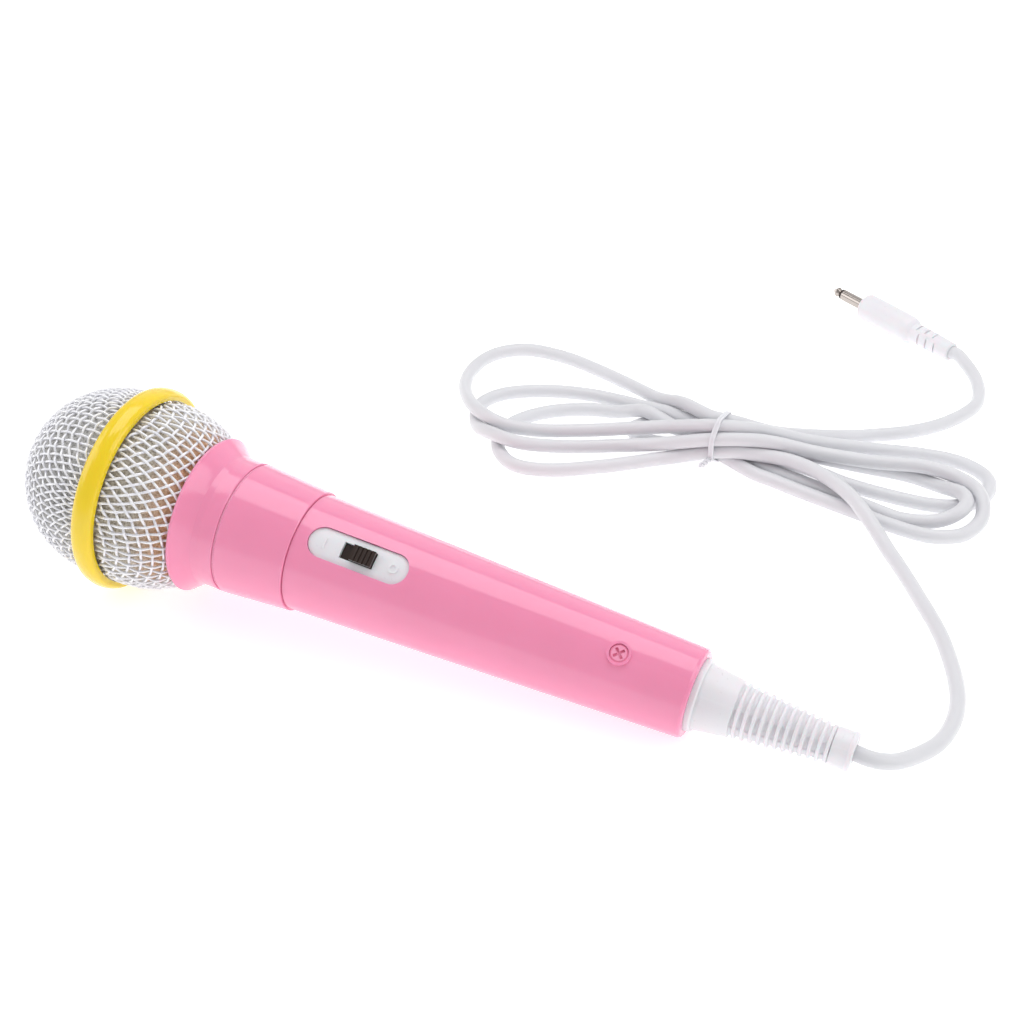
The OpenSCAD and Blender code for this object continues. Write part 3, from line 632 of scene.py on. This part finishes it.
def boot_radius(z, start, end):
    """Radius of the boot without its slots, and how deep in a groove the place is (0 to 1)."""
    ribs_end = end - END_COLLAR
    ribs_start = ribs_end - RIBS * RIB_PITCH
    boot_start = ribs_start - SMOOTH_PART
    outline = [
        (start, 9.0), (boot_start - 0.3 * MM, 9.0), (boot_start - 0.08 * MM, 8.9), (boot_start, 8.7),
        (boot_start + 0.02 * MM, 8.1), (boot_start + 0.6 * MM, 8.1), (ribs_start, 6.92),
        (ribs_end - RIB_PITCH, 4.85), (ribs_end, 4.65), (end - 1.3 * MM, 4.65), (end - 1.1 * MM, 4.85),
        (end - 0.25 * MM, 4.85), (end - 0.07 * MM, 4.78), (end, 4.6),
    ]
    radius = np.interp(z, *zip(*outline)) * MM
    phase = ((z - ribs_start) / RIB_PITCH) % 1
    crest = smooth_step(phase, 0.34, 0.56) * (1 - smooth_step(phase, 0.84, 1.0))
    groove = np.where((z > ribs_start) & (z < ribs_end), 1 - crest, 0)
    return radius - GROOVE_DEPTH * groove, groove


def cord_boot():
    """Boot with slots in its grooves on two sides and a fine mould step along them."""
    start, end = station("strain_relief", min), station("strain_relief", max)
    stations = np.arange(start, end, BOOT_STEP)
    stations = np.unique(np.concatenate((stations, [end - 0.07 * MM, end])))
    front = AXIS.cross(UP)
    turns = 2 * math.pi * np.arange(BOOT_SIDES) / BOOT_SIDES
    outs = [UP * math.cos(turn) + front * math.sin(turn) for turn in turns]
    past_line = np.degrees(turns) - MOULD_LINE
    half_turn = past_line % 180
    slots = smooth_step(half_turn, 0, 3) * (1 - smooth_step(half_turn, SLOT_REACH - 3, SLOT_REACH))
    lower_half = (past_line % 360 < 180) * MOULD_STEP
    radii, grooves = boot_radius(stations, start, end)
    points = []
    for z, r, groove in zip(stations, radii, grooves):
        slot = SLOT_DEPTH * smooth_step(groove, 0.6, 0.95) * slots
        step = lower_half if z > start + 7 * MM else 0
        for out, radius in zip(outs, r - slot + step):
            points.append(ORIGIN + AXIS * z + out * radius)
    bore = len(points)
    for z in (stations[0], stations[-1]):
        points += [ORIGIN + AXIS * z + out * BOOT_BORE for out in outs]
    faces = tube_faces(0, len(stations), BOOT_SIDES, False)
    last = bore - BOOT_SIDES
    for k in range(BOOT_SIDES):
        n = (k + 1) % BOOT_SIDES
        faces.append((n, k, bore + k, bore + n))
        faces.append((last + k, last + n, bore + BOOT_SIDES + n, bore + BOOT_SIDES + k))
        faces.append((bore + k, bore + BOOT_SIDES + k, bore + BOOT_SIDES + n, bore + n))
    mesh = mesh_from("cord_boot", points, faces)
    obj = new_object("cord_boot", bmesh_join("cord_boot", [mesh]))
    keep_slot(obj, "strain_relief")
    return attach(obj, "handle")


cord_boot()

# ---------------------------------------------------------------- cable and tie

CABLE_R = 2.0 * MM
# Sides of the CAD cable's section
RING_SIDES = 8


def cable_centres():
    """Middle line of the CAD cable, from its end in the plug, one point per ring of its mesh."""
    mesh = nodes["cable"].data
    keys, spots = {}, []
    for v in mesh.vertices:
        key = tuple(round(c * 1e6) for c in v.co)
        if key not in keys:
            keys[key] = len(keys)
            spots.append(np.array(v.co))
    merged = [keys[tuple(round(c * 1e6) for c in v.co)] for v in mesh.vertices]
    beside = [set() for _ in spots]
    for face in mesh.polygons:
        ids = [merged[i] for i in face.vertices]
        for a in ids:
            beside[a].update(ids)
    forward = np.array(PLUG_AXIS)
    shoulder = np.array(PLUG_SHOULDER)
    near = [i for i, p in enumerate(spots) if np.linalg.norm(p - shoulder) < 20 * MM]
    ring = sorted(near, key=lambda i: -(spots[i] - shoulder).dot(forward))[:RING_SIDES]
    done, centres = set(ring), []
    while ring:
        centres.append(np.mean([spots[i] for i in ring], axis=0))
        ring = sorted(set().union(*(beside[i] for i in ring)) - done)
        done.update(ring)
    return np.array(centres)


def finer(path, parts):
    """Catmull-Rom curve through the points, with that many steps between two of them."""
    padded = np.vstack((2 * path[0] - path[1], path, 2 * path[-1] - path[-2]))
    fine = []
    for a, b, c, d in zip(padded, padded[1:], padded[2:], padded[3:]):
        for s in range(parts):
            t = s / parts
            fine.append((2 * b + (c - a) * t + (2 * a - 5 * b + 4 * c - d) * t ** 2
                         + (3 * b - a - 3 * c + d) * t ** 3) / 2)
    return np.array(fine + [path[-1]])


def cable():
    """Round cable along the CAD cable's middle line. Returns that line too."""
    path = finer(cable_centres(), 4)
    obj = new_object("cable_cord", tubes_mesh("cable_cord", [path], CABLE_R, 20))
    keep_slot(obj, "cable")
    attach(obj, "handle")
    return path


def hull_2d(points):
    """Convex outline of flat points, anticlockwise."""
    points = sorted(set(points))

    def half(seq):
        out = []
        for p in seq:
            while len(out) > 1 and ((out[-1][0] - out[-2][0]) * (p[1] - out[-2][1])
                                    - (out[-1][1] - out[-2][1]) * (p[0] - out[-2][0])) <= 0:
                out.pop()
            out.append(p)
        return out[:-1]

    return half(points) + half(points[::-1])


def even_loop(points, count):
    """Closed outline resampled at even steps."""
    loop = np.array(points + points[:1])
    lengths = np.concatenate(([0], np.cumsum(np.linalg.norm(np.diff(loop, axis=0), axis=1))))
    at = np.linspace(0, lengths[-1], count, endpoint=False)
    return np.column_stack([np.interp(at, lengths, loop[:, k]) for k in range(loop.shape[1])])


def band_mesh(name, path, half_width_m, half_thick, closed):
    """Strip of two cores side by side along a path; its width lies along X."""
    quarter = [(1, 0.35), (0.8, 1), (0.3, 1), (0, 0.4)]
    upper = quarter + [(-x, y) for x, y in quarter[2::-1]]
    section = upper + [(-x, -y) for x, y in upper]
    count, size = len(path), len(section)
    points, faces = [], []
    for i in range(count):
        before = path[(i - 1) % count] if closed else path[max(0, i - 1)]
        after = path[(i + 1) % count] if closed else path[min(count - 1, i + 1)]
        along = (after - before) / np.linalg.norm(after - before)
        across = np.array((1.0, 0, 0)) - along * along[0]
        across /= np.linalg.norm(across)
        up = np.cross(along, across)
        points += [path[i] + across * a * half_width_m + up * b * half_thick for a, b in section]
    for i in range(count if closed else count - 1):
        for k in range(size):
            a, b = i * size + k, i * size + (k + 1) % size
            onward = ((i + 1) % count - i) * size
            faces.append((a, b, b + onward, a + onward))
    if not closed:
        faces.append(tuple(range(size - 1, -1, -1)))
        faces.append(tuple((count - 1) * size + k for k in range(size)))
    return mesh_from(name, points, faces)


def twisted_ends(start, direction, length, pitch, spread, steps=60):
    """Two strip ends wound round each other."""
    direction = np.array(direction, float)
    direction /= np.linalg.norm(direction)
    side = np.cross(direction, (0.1, 0.2, 1.0))
    side /= np.linalg.norm(side)
    up = np.cross(direction, side)
    paths = []
    for phase in (0, math.pi):
        path = []
        for i in range(steps + 1):
            t = i / steps
            a = phase + 2 * math.pi * length * t / pitch
            r = spread * (1 + 0.5 * t ** 3)
            path.append(start + direction * length * t + r * (side * math.cos(a) + up * math.sin(a)))
        paths.append(np.array(path))
    return paths


TIE_HALF = 0.8 * MM
TIE_THICK = 0.3 * MM
TIE_CORE_R = 0.42 * MM
TIE_GAP = 0.06 * MM
# How far the wrap leans along the cable, per distance across it
TIE_SLANT = 0.07


def crossings(path, x, low, high):
    """Points where a path crosses the plane of that x, between two values of y."""
    found = []
    for p, q in zip(path, path[1:]):
        if (p[0] - x) * (q[0] - x) <= 0 and low < p[1] < high:
            found.append(p + (q - p) * (x - p[0]) / (q[0] - p[0]))
    return found


def tie_wrap(path):
    """Loop pulled tight round the strands where they pass through the tie."""
    low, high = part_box("twist_tie")
    x = high.x - TIE_HALF - TIE_GAP
    r = CABLE_R + TIE_THICK + TIE_GAP
    outline = []
    for p in crossings(path, x, low.y, high.y + 1 * MM):
        for k in range(24):
            a = 2 * math.pi * k / 24
            outline.append((float(p[1] + r * math.cos(a)), float(p[2] + r * math.sin(a))))
    loop = even_loop(hull_2d(outline), 120)
    middle_y = loop[:, 0].mean()
    return np.column_stack((x + TIE_SLANT * (loop[:, 0] - middle_y), loop))


def twist_tie(path):
    """Two-core tie round the hank: its ends twisted together in front, a fold standing up behind."""
    wrap = tie_wrap(path)
    low_front = wrap[int(np.argmin(wrap[:, 1] + wrap[:, 2]))]
    back = wrap[int(np.argmax(wrap[:, 1]))]
    start = low_front + (0, 0, 0.3 * MM)
    ends = twisted_ends(start, (-0.3, -0.95, -0.05), 5 * MM, 3.0 * MM, TIE_CORE_R)
    base = back + np.array((0.2, -0.4, 0.6)) * MM
    fold = np.array([base + np.array((0.5, 1.3, 0.7)) * MM * t for t in np.linspace(0, 2, 8)])
    parts = [
        band_mesh("wrap", wrap, TIE_HALF, TIE_THICK, True),
        tubes_mesh("ends", ends, TIE_CORE_R, 8),
        band_mesh("fold", fold, TIE_HALF * 0.9, TIE_THICK, False),
    ]
    obj = new_object("twist_tie_wrap", bmesh_join("twist_tie_wrap", parts))
    keep_slot(obj, "twist_tie")
    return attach(obj, "handle")


twist_tie(cable())

# ---------------------------------------------------------------- stage, light, camera

CENTRE = (cad_box[0] + cad_box[1]) / 2
SCENE = bpy.context.scene


def grey(value):
    return value, value, value


def table_white():
    """Matt white that glows a little, so that the table stays white to its far end."""
    m = Nodes("matt_white_table")
    m.colour(m.ramp(m.noise(3, 2), [(0.3, grey(0.775)), (0.7, grey(0.78))]))
    m.set(Roughness=0.9, Specular_IOR_Level=0.2, Emission_Strength=0.6)
    m.shader.inputs["Emission Color"].default_value = (1, 1, 1, 1)
    return m.material


def floor():
    """Square table top of 12 m, just below the object."""
    half = 6.0
    outline = [(-half, -half, 0), (half, -half, 0), (half, half, 0), (-half, half, 0)]
    mesh = mesh_from("floor", outline, [(0, 1, 2, 3)])
    mesh.transform(Matrix.Translation((CENTRE.x, CENTRE.y, cad_box[0].z - 0.05 * MM)))
    new_object("floor", mesh, table_white())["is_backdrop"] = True


def softbox(name, at, size, power):
    """White panel of light aimed at the middle of the object, with its power in watts."""
    light = bpy.data.lights.new(name, "AREA")
    light.shape = "RECTANGLE"
    light.size, light.size_y = size
    light.energy = power
    obj = bpy.data.objects.new(name, light)
    obj.location = at
    obj.rotation_euler = (Vector(at) - CENTRE).to_track_quat("Z", "Y").to_euler()
    SCENE.collection.objects.link(obj)


def world(zenith, horizon):
    """White studio dome whose brightness changes from the horizon to the zenith."""
    studio = bpy.data.worlds.new("studio")
    studio.use_nodes = True
    tree = studio.node_tree
    coords = tree.nodes.new("ShaderNodeTexCoord")
    split = tree.nodes.new("ShaderNodeSeparateXYZ")
    height = tree.nodes.new("ShaderNodeMapRange")
    height.inputs["From Max"].default_value = 0.7
    height.inputs["To Min"].default_value = horizon
    height.inputs["To Max"].default_value = zenith
    tree.links.new(coords.outputs["Generated"], split.inputs["Vector"])
    tree.links.new(split.outputs["Z"], height.inputs["Value"])
    background = tree.nodes["Background"]
    background.inputs["Color"].default_value = (1, 1, 1, 1)
    tree.links.new(height.outputs["Result"], background.inputs["Strength"])
    SCENE.world = studio


# Place, heading from +X, tilt below the horizon and field of view
CAMERA_AT = Vector((248.1, -310.8, 287.1)) * MM
HEADING = math.radians(114.17)
PITCH = math.radians(34.9)
FIELD = math.radians(31.74)


def camera():
    cam = bpy.data.cameras.new("camera")
    cam.sensor_width = 36
    cam.angle = FIELD
    cam.clip_start, cam.clip_end = 0.01, 50
    obj = bpy.data.objects.new("camera", cam)
    level = math.cos(PITCH)
    look = Vector((math.cos(HEADING) * level, math.sin(HEADING) * level, -math.sin(PITCH)))
    obj.location = CAMERA_AT
    obj.rotation_euler = look.to_track_quat("-Z", "Y").to_euler()
    SCENE.collection.objects.link(obj)
    SCENE.camera = obj


floor()
world(0.45, 0.7)
softbox("overhead", (0.05, 0.25, 0.75), (0.8, 0.55), 2.8)
softbox("back", (0.1, 1.0, 0.55), (1.6, 0.8), 1.5)
softbox("left", (-0.55, -0.15, 0.42), (0.5, 0.5), 1.2)
softbox("right", (0.65, 0.05, 0.45), (0.5, 0.5), 1.2)
camera()
SCENE.view_settings.view_transform = "Standard"

# ---------------------------------------------------------------- sizes and end


def corners(box):
    return [list(corner) for corner in box]


{"cad": corners(cad_box), "visual": corners(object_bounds())}
